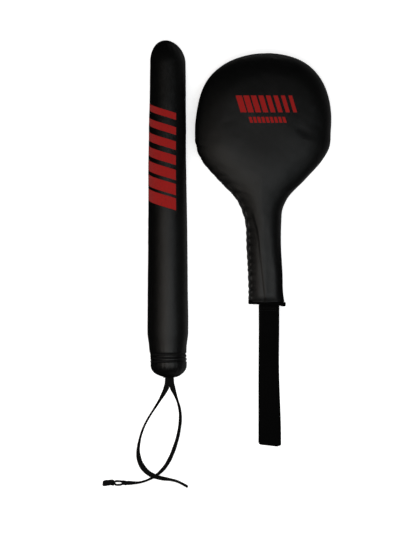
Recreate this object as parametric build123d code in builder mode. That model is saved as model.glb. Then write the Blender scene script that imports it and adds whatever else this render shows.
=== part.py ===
"""A training pair for striking drills: a round padded stick with a wrist lace, and a padded
paddle with a webbing wrist strap. Both lie on a table top, side by side, tips towards +Y.
The origin is on the table, in the middle of the space that the stick, paddle and strap take.
The stick's cone lies on the table along its lowest line, so its axis dips towards the tip."""

import os
from math import atan, cos, degrees, radians, sin, tan

from build123d import *

# ---- stick, in mm; places along it are measured from the butt end ----
stick_length = 600.0
tip_radius = 31.2  # where the tip's dome begins
grip_radius = 35.7  # widest place, under the hand
neck_radius = 31.5  # bound neck and butt end
tip_dome = 40.0
butt_dome = 24.0
neck_end = 48.0
grip_place = 102.0
cover_wall = 1.4  # coated leathercloth with its lining
tube_radius, tube_wall = 12.5, 2.5
tube_start, tube_end_inset = 26.0, 52.0
inner_foam_radius = 21.0
plug_flange, plug_depth = 3.0, 14.0
binding_radius = 0.8  # waxed thread wound round the neck
binding_count, binding_pitch, binding_middle = 3, 6.2, 35.6
seam_angle = -50.0  # of the cover's closing seam, below the right side
seam_end_gap = 10.0
running_stitch_radius, running_stitch, running_pitch = 0.5, 5.0, 8.0

# ---- wrist lace: a flat woven tape ----
tape_width, tape_thick = 8.0, 1.6
lace_slot_play = 0.3
knot_radius = 7.0
floor_play = 0.05  # between the tape and the table
crossing_clearance = 3.0  # of the upper leg over the lower one
tab_length, tab_end_length, tab_end_width = 44.0, 9.0, 10.5
eye_length, eye_width, eye_place = 12.5, 4.2, 14.5
exit_run = 15.0  # straight out of the butt end
guide_offset = 40.0  # of the parallel line that keeps a swept tape level

# ---- paddle ----
paddle_length = 448.0
head_radius = 122.0
taper_angle = 43.0  # from the paddle's axis to the edge that runs into the neck
neck_fillet = 89.0
grip_half_width = 30.6
grip_lean = 5.0  # of the handle's end towards the right
head_thick, grip_thick = 50.0, 40.0
rim_round = 17.0
core_thick = 8.0
rim_foam_width = 10.0
core_end_gap = 14.0  # from the open end of the handle to the board's tongue
end_panel_thick, end_panel_depth = 2.0, 1.0  # the sewn-in panel that closes the handle
hem_thick, hem_length = 1.8, 7.0
stitch_radius, stitch_height, stitch_pitch = 0.9, 9.0, 15.0
stitch_slant = 18.0
stitch_end_gap = 10.0

# ---- webbing wrist strap and its rivets ----
strap_width, strap_thick, strap_gap = 35.0, 1.8, 0.8
strap_length = 252.0
strap_offset = 10.0  # towards the right of the paddle's axis
strap_level_run = 38.0  # stands straight out before it droops
strap_fall_run = 62.0
strap_bend = 45.0
strap_root_length = 9.0  # where the two plies are sewn together
tail_length = 62.0
slot_play = 0.3
rivet_radius, rivet_head_radius, rivet_head_thick = 2.0, 4.5, 1.2
washer_radius, washer_thick = 6.5, 1.0
rivet_places = (28.0, 50.0)  # from the handle's open end

# ---- how the two lie beside each other ----
side_gap = 12.3
paddle_drop = 22.3  # the paddle's top edge is this much lower than the stick's tip
fit = 0.2  # between a cover and what it covers
touch = 0.05  # between a thread and the surface it lies on
hinge_gap = 0.4

layout_width = 2 * grip_radius + side_gap + 2 * head_radius
layout_length = paddle_drop + paddle_length + strap_length
tip_y = layout_length / 2
stick_x = -layout_width / 2 + grip_radius
paddle_x = layout_width / 2 - head_radius
head_y = tip_y - paddle_drop - head_radius
end_y = tip_y - paddle_drop - paddle_length
stitch_start_y = head_y - head_radius / 4
mid_z = head_thick / 2

tip_place = stick_length - tip_dome
cone_angle = atan((grip_radius - tip_radius) / (tip_place - grip_place))
butt_y = tip_y - stick_length * cos(cone_angle)
butt_z = grip_radius * cos(cone_angle) + grip_place * sin(cone_angle)
butt = Vector(stick_x, butt_y, butt_z)
along = Vector(0, cos(cone_angle), -sin(cone_angle))
side_plane = Plane(origin=butt, x_dir=along, z_dir=(1, 0, 0))  # local x along, local y up
stick_axis = Axis(butt, along)
strap_x = paddle_x + strap_offset

os.makedirs("parts", exist_ok=True)


def across(place):
    """The plane square to the stick at this distance from its butt end."""
    return Plane(origin=butt + along * place, x_dir=(1, 0, 0), z_dir=along)


def save(part, name):
    part.label = name
    export_step(part, f"parts/{name}.step")


# =============================== stick ===============================
def stick_profile(inset, start, stop):
    """Half of the stick's lengthwise section, this much smaller all round, between two places."""
    waist, belly, top = neck_radius - inset, grip_radius - inset, tip_radius - inset
    swell = (grip_place - neck_end) / 2
    with BuildSketch() as profile:
        with BuildLine():
            EllipticalCenterArc((butt_dome, 0), butt_dome - inset, waist, start_angle=90, arc_size=90)
            Line((butt_dome, waist), (neck_end, waist))
            Bezier(
                (neck_end, waist), (neck_end + swell, waist), (grip_place - swell, belly), (grip_place, belly)
            )
            Line((grip_place, belly), (tip_place, top))
            EllipticalCenterArc((tip_place, 0), tip_dome - inset, top, start_angle=0, arc_size=90)
            Line((inset, 0), (stick_length - inset, 0))
        make_face()
        with Locations(((start + stop) / 2, grip_radius / 2)):
            Rectangle(stop - start, 2 * grip_radius, mode=Mode.INTERSECT)
    return profile.sketch


def turned_padding(start, stop):
    """The stick's whole inside, cover taken off, between two places."""
    with BuildPart() as padding:
        with BuildSketch(side_plane):
            add(stick_profile(cover_wall + fit, start, stop))
        revolve(axis=stick_axis)
    return padding.part


def turned(start, stop, outer, inner=0.0):
    """A plain tube or rod on the stick's axis."""
    with BuildPart() as piece:
        with BuildSketch(across(start)):
            Circle(outer)
            if inner:
                Circle(inner, mode=Mode.SUBTRACT)
        extrude(amount=stop - start)
    return piece.part


tube_end = stick_length - tube_end_inset
slot_width, slot_height = 2 * tape_width + lace_slot_play, tape_thick + lace_slot_play


def lace_slot(start, stop):
    """The slot that the lace's two legs run through, side by side."""
    with BuildPart() as slot:
        with BuildSketch(across(start)):
            Rectangle(slot_width, slot_height)
        extrude(amount=stop - start)
    return slot.part


binding_places = [
    (binding_middle + (row - (binding_count - 1) / 2) * binding_pitch, neck_radius)
    for row in range(binding_count)
]
cover_spans = {
    "stick_butt_cap": (0, butt_dome),
    "stick_cover": (butt_dome, tip_place),
    "stick_tip_cap": (tip_place, stick_length),
}
for name, (start, stop) in cover_spans.items():
    with BuildPart() as stick_shell:
        with BuildSketch(side_plane):
            add(stick_profile(0, start, stop))
            add(stick_profile(cover_wall, start - 1, stop + 1), mode=Mode.SUBTRACT)
            with Locations(*binding_places):
                Circle(binding_radius + touch, mode=Mode.SUBTRACT)
        revolve(axis=stick_axis)
        if start == 0:
            add(lace_slot(-1, butt_dome), mode=Mode.SUBTRACT)
    save(stick_shell.part, name)

with BuildPart() as neck_bindings:
    with BuildSketch(side_plane):
        with Locations(*binding_places):
            Circle(binding_radius)
    revolve(axis=stick_axis)
save(neck_bindings.part, "neck_bindings")

with BuildPart() as stick_closing_stitches:  # the cover's lengthwise seam, a running stitch
    outward = Vector(1, 0, 0).rotate(stick_axis, seam_angle)
    place = grip_place + seam_end_gap
    while place < tip_place - seam_end_gap:
        surface = grip_radius - (place - grip_place) * tan(cone_angle)
        lift = surface + running_stitch_radius + touch
        lead = along * cos(cone_angle) - outward * sin(cone_angle)
        with BuildSketch(Plane(origin=butt + along * place + outward * lift, z_dir=lead)):
            Circle(running_stitch_radius)
        extrude(amount=running_stitch)
        place += running_pitch
save(stick_closing_stitches.part, "stick_closing_stitches")

with BuildPart() as stick_outer_foam:
    add(turned_padding(tube_start, tube_end + plug_flange))
    add(turned(0, stick_length, inner_foam_radius), mode=Mode.SUBTRACT)
save(stick_outer_foam.part, "stick_outer_foam")

save(
    turned(tube_start, tube_end + plug_flange, inner_foam_radius, tube_radius),
    "stick_inner_foam",
)
save(turned(tube_start + plug_flange, tube_end, tube_radius, tube_radius - tube_wall), "stick_core_tube")

save(turned_padding(tube_end + plug_flange, stick_length), "stick_tip_foam")

with BuildPart() as stick_butt_foam:
    add(turned_padding(0, tube_start))
    add(lace_slot(-1, tube_start + 1), mode=Mode.SUBTRACT)
save(stick_butt_foam.part, "stick_butt_foam")

with BuildPart() as stick_tip_plug:
    add(turned(tube_end, tube_end + plug_flange, tube_radius))
    add(turned(tube_end - plug_depth, tube_end, tube_radius - tube_wall))
save(stick_tip_plug.part, "stick_tip_plug")

plug_end = tube_start + plug_flange + plug_depth
with BuildPart() as stick_butt_plug:
    add(turned(tube_start, tube_start + plug_flange, tube_radius))
    add(turned(tube_start + plug_flange, plug_end, tube_radius - tube_wall))
    add(lace_slot(tube_start - 1, plug_end + 1), mode=Mode.SUBTRACT)
save(stick_butt_plug.part, "stick_butt_plug")

with BuildPart() as lace_stem:  # both legs, side by side, between the knot and the butt end
    for side in (-0.5, 0.5):
        with BuildSketch(across(0)):
            with Locations((side * tape_width, 0)):
                Rectangle(tape_width, tape_thick)
        extrude(amount=plug_end)
save(lace_stem.part, "lace_stem")

with BuildPart() as lace_knot:
    with BuildSketch(side_plane):
        with BuildLine():
            bulge = ThreePointArc(
                (plug_end, 0), (plug_end + knot_radius, knot_radius), (plug_end + 2 * knot_radius, 0)
            )
            Line(bulge @ 0, bulge @ 1)
        make_face()
    revolve(axis=stick_axis)
save(lace_knot.part, "lace_knot")

# =============================== wrist lace ===============================
# Points of the tape's middle: x and y from the butt end's middle, z above the table.
floor_z = tape_thick / 2 + floor_play
crossing_z = floor_z + tape_thick + crossing_clearance
left_route = [
    (-11.0, -29.5, 32.5),
    (-22.5, -51.0, 20.5),
    (-35.5, -72.0, 8.5),
    (-46.0, -93.5, 2.2),
    (-52.0, -115.0, floor_z),
    (-54.0, -136.0, floor_z),
    (-48.0, -157.5, floor_z),
    (-34.0, -173.0, floor_z),
    (-15.0, -180.0, floor_z),
    (5.0, -182.0, floor_z),
    (20.5, -186.5, floor_z),
    (34.0, -195.0, floor_z),
]
right_route = [
    (10.5, -31.0, 32.0),
    (18.5, -52.0, 20.0),
    (21.5, -74.0, 7.5),
    (17.0, -100.5, 1.4),
    (11.5, -121.0, floor_z),
    (4.5, -142.0, floor_z),
    (-6.0, -161.0, 2.2),
    (-20.0, -174.5, crossing_z),
    (-36.0, -183.0, crossing_z),
    (-50.0, -187.6, 2.0),
    (-61.0, -188.5, floor_z),
    (-73.5, -188.5, floor_z),
]


def corner_radii(points):
    """The largest arc each corner takes: 0.45 of its shorter run over the tangent of half the turn."""
    radii = []
    for before, here, after in zip(points, points[1:], points[2:]):
        turn = (here - before).get_angle(after - here)
        run = min((here - before).length, (after - here).length)
        radii.append(0.45 * run / tan(radians(turn / 2)))
    return radii


def lace_leg(name, side, route):
    """One leg of the lace: a flat tape with its face up, swept level by a parallel guide."""
    start = butt + Vector(side * tape_width, 0, 0)
    points = [start, start - along * exit_run]
    points += [Vector(stick_x + x, butt_y + y, z) for x, y, z in route]
    radii = corner_radii(points)
    with BuildPart() as leg:
        with BuildLine() as line:
            FilletPolyline(*points, radius=radii)
        first = points[1] - points[0]
        with BuildSketch(Plane(origin=start, x_dir=first.cross(Vector(0, 0, 1)), z_dir=first)):
            Rectangle(tape_width, tape_thick)
        sweep(path=line.wire(), binormal=line.wire().moved(Location((0, 0, guide_offset))))
    run = line.wire().length
    share = leg.part.volume / (run * tape_width * tape_thick)
    print(name, "length", round(run, 1), "least radius", round(min(radii), 1), "share", round(share, 3))
    save(leg.part, name)
    return points


lace_leg("lace_leg_left", -0.5, left_route)
right_points = lace_leg("lace_leg_right", 0.5, right_route)

leg_end = right_points[-1]
tab_plane = Plane(origin=(leg_end.X - touch, leg_end.Y, floor_play), x_dir=(-1, 0, 0), z_dir=(0, 0, 1))
with BuildPart() as lace_eye:  # the leg's end, folded back and sewn, with an eye left open
    with BuildSketch(tab_plane):
        with Locations((tab_length / 2, 0)):
            Rectangle(tab_length, tape_width)
        with Locations((tab_length - tab_end_length / 2, 0)):
            Rectangle(tab_end_length, tab_end_width)
        with Locations((eye_place, 0)):
            SlotOverall(eye_length, eye_width, mode=Mode.SUBTRACT)
    extrude(amount=2 * tape_thick)
save(lace_eye.part, "lace_eye")

# =============================== paddle ===============================
taper = radians(taper_angle)
cheek_x, cheek_y = head_radius * cos(taper), head_y - head_radius * sin(taper)
neck_y = cheek_y - (cheek_x - grip_half_width) / tan(taper)
fillet_run = neck_fillet * tan(taper / 2)
thinning_end_y = neck_y - fillet_run


def outline(inset, stop):
    """The paddle's plan: a round head, straight cheeks, a filleted neck and a handle down to stop."""
    radius, half = head_radius - inset, grip_half_width - inset
    cheek = (radius * cos(taper), head_y - radius * sin(taper))
    corner_y = cheek[1] - (cheek[0] - half) / tan(taper)
    lean = grip_lean * (neck_y - stop) / (neck_y - end_y)
    with BuildSketch() as plan:
        with BuildLine():
            crown = ThreePointArc(cheek, (0, head_y + radius), (-cheek[0], cheek[1]))
            Polyline(crown @ 1, (-half, corner_y), (lean - half, stop))
            Line((lean - half, stop), (lean + half, stop))
            Polyline((lean + half, stop), (half, corner_y), cheek)
        make_face()
        neck = plan.vertices().filter_by_position(Axis.Y, corner_y - 1, corner_y + 1)
        fillet(neck, neck_fillet + inset)
    return plan.sketch


def slab(sketch, low, high):
    """A sketch in the paddle's plan, carried between two heights."""
    with BuildPart() as piece:
        with BuildSketch(Plane(origin=(paddle_x, 0, low))):
            add(sketch)
        extrude(amount=high - low)
    return piece.part


def square_cut(y):
    """The upright plane square to the handle; its top side faces the head."""
    return Plane(origin=(paddle_x, y, 0), x_dir=(-1, 0, 0), z_dir=(0, 1, 0))


def padded_blank(inset, stop):
    """The whole paddle as one solid, this much smaller all round, cut off square at stop."""
    beyond = stop - 3 * rim_round
    middle = (cheek_y + thinning_end_y) / 2
    with BuildPart() as blank:
        with BuildSketch(Plane.YZ):
            with BuildLine():
                for up in (-1, 1):
                    head = mid_z + up * (head_thick / 2 - inset)
                    grip = mid_z + up * (grip_thick / 2 - inset)
                    Line((tip_y, head), (cheek_y, head))
                    Bezier((cheek_y, head), (middle, head), (middle, grip), (thinning_end_y, grip))
                    Line((thinning_end_y, grip), (beyond, grip))
                for y, thick in ((tip_y, head_thick), (beyond, grip_thick)):
                    Line((y, mid_z - thick / 2 + inset), (y, mid_z + thick / 2 - inset))
            make_face()
        extrude(amount=layout_width, both=True)
        add(slab(outline(inset, beyond), -head_thick, 2 * head_thick), mode=Mode.INTERSECT)
        rims = blank.edges().filter_by(Axis.X, reverse=True).filter_by(Axis.Z, reverse=True)
        fillet(rims, rim_round - inset)
        split(bisect_by=square_cut(stop), keep=Keep.TOP)
    return blank.part


def stretch(part, low_y, high_y):
    """The part of a paddle piece between two places along the handle's direction."""
    with BuildPart() as piece:
        add(part)
        split(bisect_by=square_cut(low_y), keep=Keep.TOP)
        split(bisect_by=square_cut(high_y), keep=Keep.BOTTOM)
    return piece.part


cover = padded_blank(0, end_y)
cavity = padded_blank(cover_wall, end_y - 1)
filling = padded_blank(cover_wall + fit, end_y)
panel_start = end_y + end_panel_depth
foam_end = panel_start + end_panel_thick
core_low, core_high = mid_z - core_thick / 2, mid_z + core_thick / 2
seam_plane = Plane.XY.offset(mid_z)

for name, kept in (("paddle_cover_front", Keep.TOP), ("paddle_cover_back", Keep.BOTTOM)):
    with BuildPart() as paddle_cover:
        add(cover)
        add(cavity, mode=Mode.SUBTRACT)
        split(bisect_by=seam_plane, keep=kept)
    save(paddle_cover.part, name)

# The strap's tail lies on the board's tongue and is riveted to it.
strap_stack = 2 * strap_thick
rivet_top = core_high + strap_stack
rivet_foot = core_low - washer_thick


def strap_level(z):
    """The level plane on the strap's middle line, with its origin at the handle's open end."""
    return Plane(origin=(strap_x, end_y, z))


def strap_block(play, start, stop, low, high):
    """A block as wide as the strap, between two places from the handle's end and two heights."""
    with BuildPart() as block:
        with BuildSketch(strap_level(low)):
            with Locations((0, (start + stop) / 2)):
                Rectangle(strap_width + 2 * play, stop - start)
        extrude(amount=high - low)
    return block.part


def rivet_posts(radius, low, high):
    """Round posts where the rivets stand, between two heights."""
    with BuildPart() as posts:
        with BuildSketch(strap_level(low)):
            with Locations(*[(0, place) for place in rivet_places]):
                Circle(radius)
        extrude(amount=high - low)
    return posts.part


with BuildPart() as strap_tail:
    for ply in range(2):
        low = core_high + ply * strap_thick
        add(strap_block(0, 0, tail_length, low, low + strap_thick))
    add(rivet_posts(rivet_radius + fit / 2, core_low, rivet_top + 1), mode=Mode.SUBTRACT)
save(strap_tail.part, "strap_tail")

with BuildPart() as strap_rivets:
    add(rivet_posts(rivet_radius, rivet_foot - rivet_head_thick, rivet_top + rivet_head_thick))
    add(rivet_posts(rivet_head_radius, rivet_top, rivet_top + rivet_head_thick))
    add(rivet_posts(rivet_head_radius, rivet_foot - rivet_head_thick, rivet_foot))
save(strap_rivets.part, "strap_rivets")

with BuildPart() as strap_washers:
    add(rivet_posts(washer_radius, rivet_foot, core_low))
    add(rivet_posts(rivet_radius + fit / 2, rivet_foot - 1, core_low + 1), mode=Mode.SUBTRACT)
save(strap_washers.part, "strap_washers")

board_inset = cover_wall + fit + rim_foam_width
with BuildPart() as paddle_core_board:
    add(slab(outline(board_inset + fit, end_y + core_end_gap), core_low, core_high))
    add(rivet_posts(rivet_radius + fit / 2, core_low - 1, core_high + 1), mode=Mode.SUBTRACT)
save(paddle_core_board.part, "paddle_core_board")

with BuildPart() as paddle_rim_foam:
    add(stretch(filling, foam_end, tip_y))
    split(bisect_by=Plane.XY.offset(core_low), keep=Keep.TOP)
    split(bisect_by=Plane.XY.offset(core_high), keep=Keep.BOTTOM)
    add(slab(outline(board_inset, end_y + core_end_gap - fit), 0, head_thick), mode=Mode.SUBTRACT)
save(paddle_rim_foam.part, "paddle_rim_foam")

for place, low_y, high_y in (("head", thinning_end_y, tip_y), ("grip", foam_end, thinning_end_y)):
    with BuildPart() as front_foam:
        add(stretch(filling, low_y, high_y))
        split(bisect_by=Plane.XY.offset(core_high), keep=Keep.TOP)
        pocket_top = rivet_top + rivet_head_thick + fit
        add(strap_block(fit, 0, tail_length + fit, core_low, pocket_top), mode=Mode.SUBTRACT)
    save(front_foam.part, f"paddle_{place}_foam_front")
    with BuildPart() as back_foam:
        add(stretch(filling, low_y, high_y))
        split(bisect_by=Plane.XY.offset(core_low), keep=Keep.BOTTOM)
        pocket_low = rivet_foot - rivet_head_thick - fit
        add(rivet_posts(washer_radius + fit, pocket_low, core_high), mode=Mode.SUBTRACT)
    save(back_foam.part, f"paddle_{place}_foam_back")

with BuildPart() as paddle_end_panel:
    add(stretch(filling, panel_start, foam_end))
    slot_low, slot_high = core_high - slot_play, core_high + strap_stack + slot_play
    add(strap_block(slot_play, 0, foam_end - end_y + 1, slot_low, slot_high), mode=Mode.SUBTRACT)
save(paddle_end_panel.part, "paddle_end_panel")

with BuildPart() as paddle_end_hem:
    add(stretch(padded_blank(-hem_thick, end_y), end_y, end_y + hem_length))
    add(padded_blank(-touch, end_y - 1), mode=Mode.SUBTRACT)
save(paddle_end_hem.part, "paddle_end_hem")

# Slanted stitches over the left rim, from below the head's widest line to the hem.
rim_line = outline(-(stitch_radius + touch), end_y).wire().moved(Location((paddle_x, 0, mid_z)))
stitch_total = int(rim_line.length / stitch_pitch)
slant = radians(stitch_slant)
with BuildPart() as paddle_closing_stitches:
    for number in range(stitch_total):
        spot, lead = rim_line @ (number / stitch_total), rim_line % (number / stitch_total)
        if spot.X < paddle_x and end_y + stitch_end_gap < spot.Y < stitch_start_y:
            lean_dir = lead * sin(slant) + Vector(0, 0, cos(slant))
            with BuildSketch(Plane(origin=spot - lean_dir * stitch_height / 2, z_dir=lean_dir)):
                Circle(stitch_radius)
            extrude(amount=stitch_height)
save(paddle_closing_stitches.part, "paddle_closing_stitches")

# =============================== wrist strap ===============================
# A loop of webbing pressed flat; its sewn root turns about a line across the handle's end.
root_radius = strap_thick + strap_gap / 2
pivot_y, pivot_z = end_y - hinge_gap - root_radius, core_high + strap_thick
fall_start, fall_end = pivot_y - strap_level_run, pivot_y - strap_level_run - strap_fall_run
loop_end = end_y - strap_length + root_radius
loop_plane = Plane(origin=(strap_x, 0, 0), x_dir=(0, 1, 0), z_dir=(1, 0, 0))


def strap_sheet(start_y, radius):
    """The strap's side view, this far on each side of its middle line, carried across its width."""
    with BuildPart() as sheet:
        with BuildSketch(loop_plane):
            with BuildLine() as line:
                FilletPolyline(
                    (start_y, pivot_z),
                    (fall_start, pivot_z),
                    (fall_end, root_radius),
                    (loop_end, root_radius),
                    radius=strap_bend,
                )
                offset(amount=radius, side=Side.BOTH)
            make_face()
        extrude(amount=strap_width / 2, both=True)
    return sheet.part


with BuildPart() as strap_loop:
    add(strap_sheet(pivot_y, root_radius))
    add(strap_sheet(pivot_y - strap_root_length, strap_gap / 2), mode=Mode.SUBTRACT)
save(strap_loop.part, "strap_loop")
print("strap_swing", Vector(strap_x, pivot_y, pivot_z), "stick", butt, "cone angle", degrees(cone_angle))
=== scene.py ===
import math

import bmesh
import bpy
import numpy as np
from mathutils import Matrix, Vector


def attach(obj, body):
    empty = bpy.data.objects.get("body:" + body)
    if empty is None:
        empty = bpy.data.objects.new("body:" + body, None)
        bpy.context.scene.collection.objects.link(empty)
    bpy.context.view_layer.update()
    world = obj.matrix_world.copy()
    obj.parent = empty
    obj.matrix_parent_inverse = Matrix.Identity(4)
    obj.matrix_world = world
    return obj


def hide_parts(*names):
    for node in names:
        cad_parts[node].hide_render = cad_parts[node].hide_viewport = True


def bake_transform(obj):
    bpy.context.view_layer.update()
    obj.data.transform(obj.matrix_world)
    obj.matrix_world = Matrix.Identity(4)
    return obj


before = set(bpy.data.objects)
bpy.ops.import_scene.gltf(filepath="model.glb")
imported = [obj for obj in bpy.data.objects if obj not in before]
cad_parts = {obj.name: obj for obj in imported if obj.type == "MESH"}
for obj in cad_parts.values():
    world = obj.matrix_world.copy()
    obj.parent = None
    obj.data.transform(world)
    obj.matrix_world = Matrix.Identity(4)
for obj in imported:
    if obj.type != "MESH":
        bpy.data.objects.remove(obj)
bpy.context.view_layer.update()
print("frame loaded:", len(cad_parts), "nodes")

mm = 0.001


def smooth(edge0, edge1, x):
    # 0 before edge0, 1 after edge1, and 3t^2 - 2t^3 between
    t = np.clip((x - edge0) / (edge1 - edge0), 0, 1)
    return t * t * (3 - 2 * t)


def softNoise(points, size, seed):
    # gentle lumps, about -1 to 1: the mean of 12 sine waves near this wavelength, each with its own way
    # and phase
    rng = np.random.default_rng(seed)
    ways = rng.normal(size=(12, 3))
    ways /= np.linalg.norm(ways, axis=1)[:, None]
    waves = rng.uniform(0.7, 1.3, 12) * 2 * np.pi / size
    phases = rng.uniform(0, 2 * np.pi, 12)
    return np.sin(points @ (ways * waves[:, None]).T + phases).mean(-1) * 2.2


def makePiece(name, grids, material, uvs=None):
    # each grid is rows x columns x 3, in mm: one quad between every four neighbours
    verts, faces, start = [], [], 0
    for grid in grids:
        rows, columns = grid.shape[:2]
        index = start + np.arange(rows * columns).reshape(rows, columns)
        corners = [index[:-1, :-1], index[:-1, 1:], index[1:, 1:], index[1:, :-1]]
        faces.append(np.stack(corners, axis=-1).reshape(-1, 4))
        verts.append(grid.reshape(-1, 3))
        start += rows * columns
    verts, faces = np.concatenate(verts), np.concatenate(faces)
    mesh = bpy.data.meshes.new(name)
    mesh.from_pydata(verts * mm, [], faces)
    if uvs is not None:
        flat = np.concatenate([uv.reshape(-1, 2) for uv in uvs]) * mm
        layer = mesh.uv_layers.new(name="UVMap")
        layer.data.foreach_set("uv", flat[faces.ravel()].astype(np.float32).ravel())
    shape = bmesh.new()
    shape.from_mesh(mesh)
    bmesh.ops.remove_doubles(shape, verts=shape.verts, dist=1e-6)
    bmesh.ops.recalc_face_normals(shape, faces=shape.faces)
    shape.to_mesh(mesh)
    shape.free()
    mesh.polygons.foreach_set("use_smooth", np.ones(len(mesh.polygons), bool))
    mesh.update()
    piece = bpy.data.objects.new(name, mesh)
    bpy.context.scene.collection.objects.link(piece)
    piece.data.materials.append(material)
    return piece


def ovalSection(sides, power=1.0):
    # unit points of a superellipse: a low power makes a flat tape with rounded edges
    angle = np.linspace(0, 2 * np.pi, sides + 1)
    x, y = np.cos(angle), np.sin(angle)
    return np.stack([np.sign(x) * np.abs(x) ** power, np.sign(y) * np.abs(y) ** power], axis=-1)


def carry(path, width, thick, section, tilt=0.0, closed=False, reference=(0, 0, 1)):
    # a section carried along a path in mm: section x times half the width, y times half the thickness,
    # both turned by tilt about the path; open ends close to a point. Gives the grid and its UV.
    size = [np.broadcast_to(part, len(path)) for part in (width, thick, tilt)]
    size = np.stack(size, axis=-1).astype(float)
    if closed:
        ahead, behind = np.roll(path, -1, 0), np.roll(path, 1, 0)
        way = ahead - behind
    else:
        way = np.gradient(path, axis=0)
        path = np.concatenate([path[:1], path, path[-1:]])
        way = np.concatenate([way[:1], way, way[-1:]])
        size = np.concatenate([size[:1], size, size[-1:]])
        size[[0, -1], :2] = 0
        size[[1, -2], :2] *= 0.8
    way = way / np.linalg.norm(way, axis=1)[:, None]
    side = np.cross(way, np.array(reference, float))
    side /= np.maximum(np.linalg.norm(side, axis=1), 1e-9)[:, None]
    up = np.cross(side, way)
    turn = np.radians(size[:, 2])[:, None]
    side, up = side * np.cos(turn) + up * np.sin(turn), up * np.cos(turn) - side * np.sin(turn)
    x = section[None, :, 0] * size[:, :1] / 2
    y = section[None, :, 1] * size[:, 1:2] / 2
    grid = path[:, None] + side[:, None] * x[..., None] + up[:, None] * y[..., None]
    length = np.linalg.norm(np.diff(path, axis=0, prepend=path[:1]), axis=1).cumsum()
    uv = np.stack(np.broadcast_arrays(length[:, None], x), axis=-1)
    if closed:
        grid, uv = np.concatenate([grid, grid[:1]]), np.concatenate([uv, uv[-1:] + (1, 0)])
    return grid, uv


def through(x, knots, values):
    # a smooth curve through the knots: cubic pieces that share the neighbours' mean slope at each knot
    slopes = np.gradient(values, knots)
    i = np.clip(np.searchsorted(knots, x) - 1, 0, len(knots) - 2)
    run = knots[i + 1] - knots[i]
    t = (x - knots[i]) / run
    first = (1 + 2 * t) * (1 - t) ** 2 * values[i] + t * (1 - t) ** 2 * run * slopes[i]
    return first + t * t * (3 - 2 * t) * values[i + 1] + t * t * (t - 1) * run * slopes[i + 1]


# shader effects that several materials share


def newGroup(name, inputs, outputs):
    group = bpy.data.node_groups.new(name, "ShaderNodeTree")
    for label, kind, value in inputs:
        socket = group.interface.new_socket(name=label, in_out="INPUT", socket_type=kind)
        if value is not None:
            socket.default_value = value
    for label, kind in outputs:
        group.interface.new_socket(name=label, in_out="OUTPUT", socket_type=kind)
    return group, group.nodes.new("NodeGroupInput"), group.nodes.new("NodeGroupOutput")


def put(tree, kind, links=None, **settings):
    # one node: settings are its properties, links its inputs by name or number, as values or sockets
    node = tree.nodes.new(kind)
    for key, value in settings.items():
        setattr(node, key, value)
    for key, value in (links or {}).items():
        if isinstance(value, bpy.types.NodeSocket):
            tree.links.new(value, node.inputs[key])
        else:
            node.inputs[key].default_value = value
    return node


def maths(tree, operation, *values):
    return put(tree, "ShaderNodeMath", dict(enumerate(values)), operation=operation).outputs[0]


def ramp(tree, value, low, high):
    # value from low to high becomes 0 to 1, smoothly
    links = {"Value": value, "From Min": low, "From Max": high}
    return put(tree, "ShaderNodeMapRange", links, interpolation_type="SMOOTHSTEP").outputs[0]


def noiseOf(tree, vector, size, detail=3.0, rough=0.55):
    scale = maths(tree, "DIVIDE", 1.0, size)
    links = {"Vector": vector, "Scale": scale, "Detail": detail, "Roughness": rough}
    return put(tree, "ShaderNodeTexNoise", links).outputs[0]


floatSocket, vectorSocket = "NodeSocketFloat", "NodeSocketVector"

# grain of coated leathercloth: small pebbles with fine pores, and broad soft patches
leatherGrain, entry, leave = newGroup(
    "leatherGrain",
    [("Vector", vectorSocket, None), ("Pebble", floatSocket, 0.0008), ("Patch", floatSocket, 0.05)],
    [("Height", floatSocket), ("Patches", floatSocket)],
)
pebbleScale = maths(leatherGrain, "DIVIDE", 1.0, entry.outputs["Pebble"])
wobble = put(leatherGrain, "ShaderNodeTexNoise", {"Vector": entry.outputs["Vector"], "Scale": 900.0})
bent = put(
    leatherGrain,
    "ShaderNodeVectorMath",
    {0: wobble.outputs["Color"], 1: (0.0006,) * 3, 2: entry.outputs["Vector"]},
    operation="MULTIPLY_ADD",
)
pebbles = put(
    leatherGrain,
    "ShaderNodeTexVoronoi",
    {"Vector": bent.outputs[0], "Scale": pebbleScale},
    feature="DISTANCE_TO_EDGE",
)
poreSize = maths(leatherGrain, "MULTIPLY", entry.outputs["Pebble"], 0.35)
pores = noiseOf(leatherGrain, entry.outputs["Vector"], poreSize)
rounded = ramp(leatherGrain, pebbles.outputs["Distance"], 0.0, 0.22)
height = maths(leatherGrain, "MULTIPLY_ADD", pores, 0.35, rounded)
patches = noiseOf(leatherGrain, entry.outputs["Vector"], entry.outputs["Patch"], 4.0, 0.6)
leatherGrain.links.new(height, leave.inputs["Height"])
leatherGrain.links.new(patches, leave.inputs["Patches"])

# a woven face: warp threads across the width, weft picks along it, every other one passing under
wovenFace, entry, leave = newGroup(
    "wovenFace",
    [("Along", floatSocket, 0.0), ("Across", floatSocket, 0.0), ("Pick", floatSocket, 0.0012),
     ("Rib", floatSocket, 0.0011)],
    [("Height", floatSocket)],
)
ribPlace = maths(wovenFace, "DIVIDE", entry.outputs["Across"], entry.outputs["Rib"])
ribNumber = maths(wovenFace, "FLOOR", ribPlace)
pickPlace = maths(wovenFace, "DIVIDE", entry.outputs["Along"], entry.outputs["Pick"])
shifted = maths(wovenFace, "MULTIPLY_ADD", ribNumber, 0.5, pickPlace)
crowns = []
for turns, power in ((ribPlace, 0.6), (shifted, 0.5)):
    wave = maths(wovenFace, "SINE", maths(wovenFace, "MULTIPLY", turns, math.pi))
    crowns.append(maths(wovenFace, "POWER", maths(wovenFace, "ABSOLUTE", wave), power))
wovenFace.links.new(maths(wovenFace, "MULTIPLY", *crowns), leave.inputs["Height"])

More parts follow.
